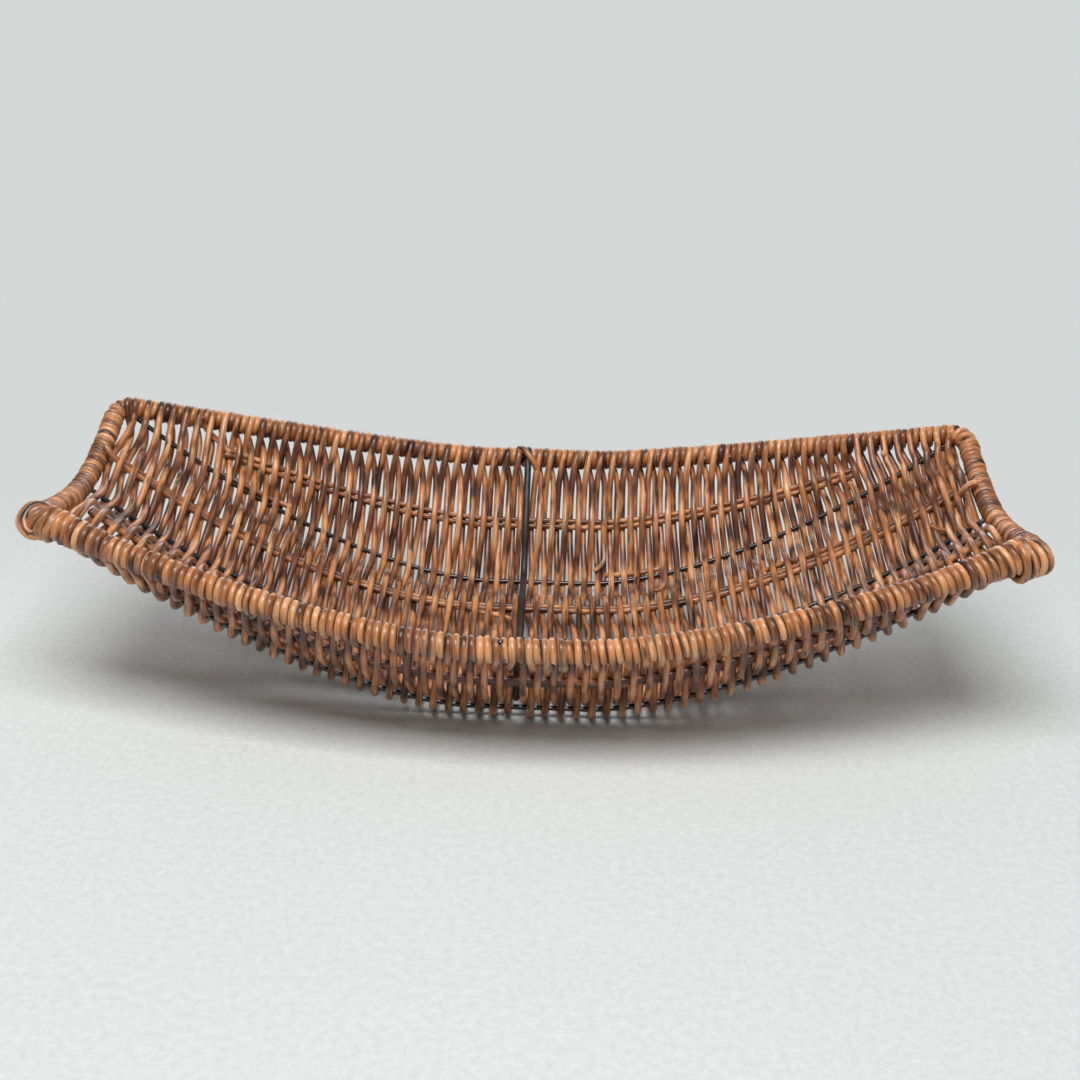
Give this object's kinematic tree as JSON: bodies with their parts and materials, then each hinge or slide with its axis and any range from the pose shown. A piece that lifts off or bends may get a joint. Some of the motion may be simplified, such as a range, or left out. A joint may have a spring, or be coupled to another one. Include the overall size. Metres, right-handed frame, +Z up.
{
  "type": "woven basket",
  "caption": "Shallow boat-shaped kitchen basket of dark rattan rods woven on a black iron wire frame, with sagging long rims and raised corners.",
  "frame": {"origin": "centre of the basket's footprint, on the surface it stands on", "axes": "+X along the length of the basket to its right end, +Y across it to its back rim, +Z up"},
  "size_m": [0.4306, 0.2228, 0.0954],
  "materials": {
    "iron_wire": "black, semi-gloss",
    "rattan_rod": "stained and varnished, semi-gloss",
    "rattan_binding": "stained and varnished, semi-gloss",
    "rattan_weave": "stained and varnished, semi-gloss"
  },
  "bodies": {
    "root": {"back_bottom_rod_1": "rattan_rod", "back_bottom_rod_2": "rattan_rod", "back_bottom_wire": "iron_wire", "back_wall_rod_1": "rattan_rod", "back_wall_rod_2": "rattan_rod", "centre_bar": "iron_wire", "front_bottom_rod_1": "rattan_rod", "front_bottom_rod_2": "rattan_rod", "front_bottom_wire": "iron_wire", "front_wall_rod_1": "rattan_rod", "front_wall_rod_2": "rattan_rod", "keel_wire": "iron_wire", "left_end_binding": "rattan_binding", "right_end_binding": "rattan_binding", "rim_ring": "iron_wire", "weaver_group_01": "rattan_weave", "weaver_group_02": "rattan_weave", "weaver_group_03": "rattan_weave", "weaver_group_04": "rattan_weave", "weaver_group_05": "rattan_weave", "weaver_group_06": "rattan_weave", "weaver_group_07": "rattan_weave", "weaver_group_08": "rattan_weave", "weaver_group_09": "rattan_weave", "weaver_group_10": "rattan_weave", "weaver_group_11": "rattan_weave", "weaver_group_12": "rattan_weave", "weaver_group_13": "rattan_weave", "weaver_group_14": "rattan_weave", "weaver_group_15": "rattan_weave", "weaver_group_16": "rattan_weave", "weaver_group_17": "rattan_weave", "weaver_group_18": "rattan_weave", "weaver_group_19": "rattan_weave", "weaver_group_20": "rattan_weave", "weaver_group_21": "rattan_weave", "weaver_group_22": "rattan_weave", "weaver_group_23": "rattan_weave", "weaver_group_24": "rattan_weave", "weaver_group_25": "rattan_weave", "weaver_group_26": "rattan_weave", "weaver_group_27": "rattan_weave", "weaver_group_28": "rattan_weave", "weaver_group_29": "rattan_weave", "weaver_group_30": "rattan_weave", "weaver_group_31": "rattan_weave", "weaver_group_32": "rattan_weave", "weaver_group_33": "rattan_weave", "weaver_group_34": "rattan_weave", "weaver_group_35": "rattan_weave", "weaver_group_36": "rattan_weave", "weaver_group_37": "rattan_weave", "weaver_group_38": "rattan_weave", "weaver_group_39": "rattan_weave", "weaver_group_40": "rattan_weave", "weaver_group_41": "rattan_weave"}
  },
  "joints": []
}
